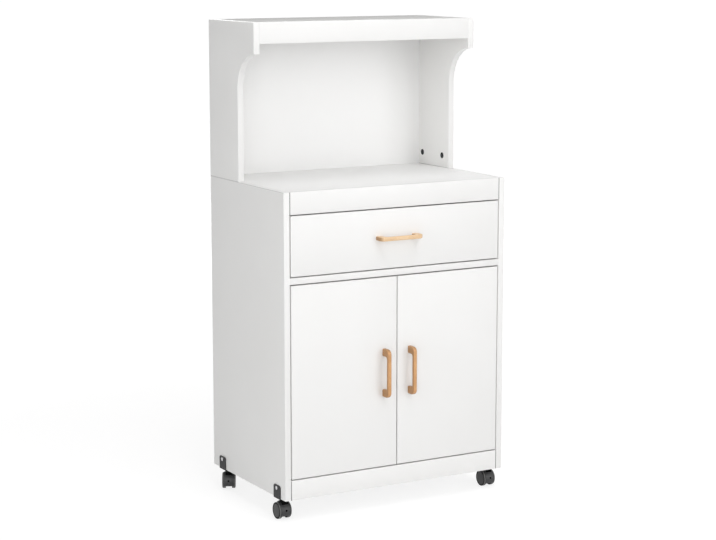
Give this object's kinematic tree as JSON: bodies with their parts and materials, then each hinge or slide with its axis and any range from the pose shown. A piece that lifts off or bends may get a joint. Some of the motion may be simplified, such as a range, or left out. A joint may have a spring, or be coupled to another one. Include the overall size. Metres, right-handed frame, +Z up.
{
  "type": "microwave stand with drawer",
  "caption": "White board cabinet on casters with an open hutch for a microwave, a drawer on roller runners and a cupboard behind inset doors, all with bow handles.",
  "frame": {"origin": "on the floor, at the middle of the overall width and depth", "axes": "+X towards the stand's right-hand side seen from the front, +Y towards its back, +Z up"},
  "size_m": [0.6102, 0.412, 1.152],
  "materials": {
    "white_board": "satin white melamine on chipboard",
    "white_panel": "white laminate on hardboard",
    "beech": "satin lacquer",
    "runner_coating": "epoxy coating",
    "roller_nylon": "smooth",
    "cam_zinc": "dull grey",
    "steel": "zinc plated",
    "black_bracket": "satin black",
    "black_hood": "satin black",
    "black_wheel": "satin black"
  },
  "bodies": {
    "cabinet": {"left_side_panel": "white_board", "right_side_panel": "white_board", "worktop": "white_board", "worktop_rail": "white_board", "divider_panel": "white_board", "cupboard_shelf": "white_board", "shelf_pins": "steel", "bottom_panel": "white_board", "plinth_rail": "white_board", "cabinet_back": "white_panel", "hutch_left_side": "white_board", "hutch_right_side": "white_board", "hutch_top": "white_board", "hutch_fascia": "white_board", "hutch_back": "white_panel", "cam_locks": "cam_zinc", "cam_bolts": "steel", "dowels": "beech", "left_cabinet_runner": "runner_coating", "right_cabinet_runner": "runner_coating", "carcass_screws": "steel", "hinge_mounting_plates": "steel", "hinge_arms": "steel", "caster_brackets": "black_bracket", "caster_screws": "steel"},
    "drawer": {"drawer_front": "white_board", "drawer_left_side": "white_board", "drawer_right_side": "white_board", "drawer_back": "white_board", "drawer_bottom": "white_panel", "drawer_handle": "beech", "drawer_cam_locks": "cam_zinc", "drawer_cam_bolts": "steel", "left_drawer_runner": "runner_coating", "right_drawer_runner": "runner_coating", "drawer_screws": "steel"},
    "front_rollers": {"cabinet_rollers": "roller_nylon"},
    "rear_rollers": {"drawer_rollers": "roller_nylon"},
    "left_hinge_link": {"left_hinge_links": "steel"},
    "left_door_leaf": {"left_door": "white_board", "left_door_handle": "beech", "left_handle_screws": "steel", "left_hinge_cups": "steel"},
    "right_hinge_link": {"right_hinge_links": "steel"},
    "right_door_leaf": {"right_door": "white_board", "right_door_handle": "beech", "right_handle_screws": "steel", "right_hinge_cups": "steel"},
    "front_left_swivel": {"front_left_hood": "black_hood"},
    "front_left_wheelset": {"front_left_axle": "steel", "front_left_wheels": "black_wheel"},
    "front_right_swivel": {"front_right_hood": "black_hood"},
    "front_right_wheelset": {"front_right_axle": "steel", "front_right_wheels": "black_wheel"},
    "rear_left_swivel": {"rear_left_hood": "black_hood"},
    "rear_left_wheelset": {"rear_left_axle": "steel", "rear_left_wheels": "black_wheel"},
    "rear_right_swivel": {"rear_right_hood": "black_hood"},
    "rear_right_wheelset": {"rear_right_axle": "steel", "rear_right_wheels": "black_wheel"}
  },
  "joints": [
    {"name": "drawer_slide", "type": "slide", "parent": "cabinet", "child": "drawer", "axis": [0, -1, 0], "range_m": [0, 0.25]},
    {"name": "front_roller_spin", "type": "hinge", "parent": "cabinet", "child": "front_rollers", "pos_m": [0, -0.148, 0.6012], "axis": [1, 0, 0], "continuous": true},
    {"name": "rear_roller_spin", "type": "hinge", "parent": "drawer", "child": "rear_rollers", "pos_m": [0, 0.17, 0.5985], "axis": [1, 0, 0], "continuous": true},
    {"name": "left_hinge_link_turn", "type": "hinge", "parent": "cabinet", "child": "left_hinge_link", "pos_m": [-0.266, -0.17, 0], "axis": [0, 0, -1], "range_deg": [0, 190]},
    {"name": "left_door_swing", "type": "hinge", "parent": "left_hinge_link", "child": "left_door_leaf", "pos_m": [-0.2645, -0.163, 0], "axis": [0, 0, 1], "range_deg": [0, 95]},
    {"name": "right_hinge_link_turn", "type": "hinge", "parent": "cabinet", "child": "right_hinge_link", "pos_m": [0.266, -0.17, 0], "axis": [0, 0, 1], "range_deg": [0, 190]},
    {"name": "right_door_swing", "type": "hinge", "parent": "right_hinge_link", "child": "right_door_leaf", "pos_m": [0.2645, -0.163, 0], "axis": [0, 0, -1], "range_deg": [0, 95]},
    {"name": "front_left_swivel_turn", "type": "hinge", "parent": "cabinet", "child": "front_left_swivel", "pos_m": [-0.285, -0.139, 0.05], "axis": [0, 0, 1], "continuous": true},
    {"name": "front_left_wheel_roll", "type": "hinge", "parent": "front_left_swivel", "child": "front_left_wheelset", "pos_m": [-0.285, -0.133, 0.02], "axis": [1, 0, 0], "continuous": true},
    {"name": "front_right_swivel_turn", "type": "hinge", "parent": "cabinet", "child": "front_right_swivel", "pos_m": [0.285, -0.139, 0.05], "axis": [0, 0, 1], "continuous": true},
    {"name": "front_right_wheel_roll", "type": "hinge", "parent": "front_right_swivel", "child": "front_right_wheelset", "pos_m": [0.285, -0.133, 0.02], "axis": [1, 0, 0], "continuous": true},
    {"name": "rear_left_swivel_turn", "type": "hinge", "parent": "cabinet", "child": "rear_left_swivel", "pos_m": [-0.285, 0.154, 0.05], "axis": [0, 0, 1], "continuous": true},
    {"name": "rear_left_wheel_roll", "type": "hinge", "parent": "rear_left_swivel", "child": "rear_left_wheelset", "pos_m": [-0.28209, 0.15925, 0.02], "axis": [0.8746, -0.4848, 0], "continuous": true},
    {"name": "rear_right_swivel_turn", "type": "hinge", "parent": "cabinet", "child": "rear_right_swivel", "pos_m": [0.285, 0.154, 0.05], "axis": [0, 0, 1], "continuous": true},
    {"name": "rear_right_wheel_roll", "type": "hinge", "parent": "rear_right_swivel", "child": "rear_right_wheelset", "pos_m": [0.28209, 0.15925, 0.02], "axis": [0.8746, 0.4848, 0], "continuous": true}
  ],
  "couplings": [
    {"joint": "front_roller_spin", "follows": "drawer_slide", "rad_per_m": 90.909},
    {"joint": "rear_roller_spin", "follows": "drawer_slide", "rad_per_m": 90.909},
    {"joint": "left_hinge_link_turn", "follows": "left_door_swing", "ratio": 2},
    {"joint": "right_hinge_link_turn", "follows": "right_door_swing", "ratio": 2}
  ]
}
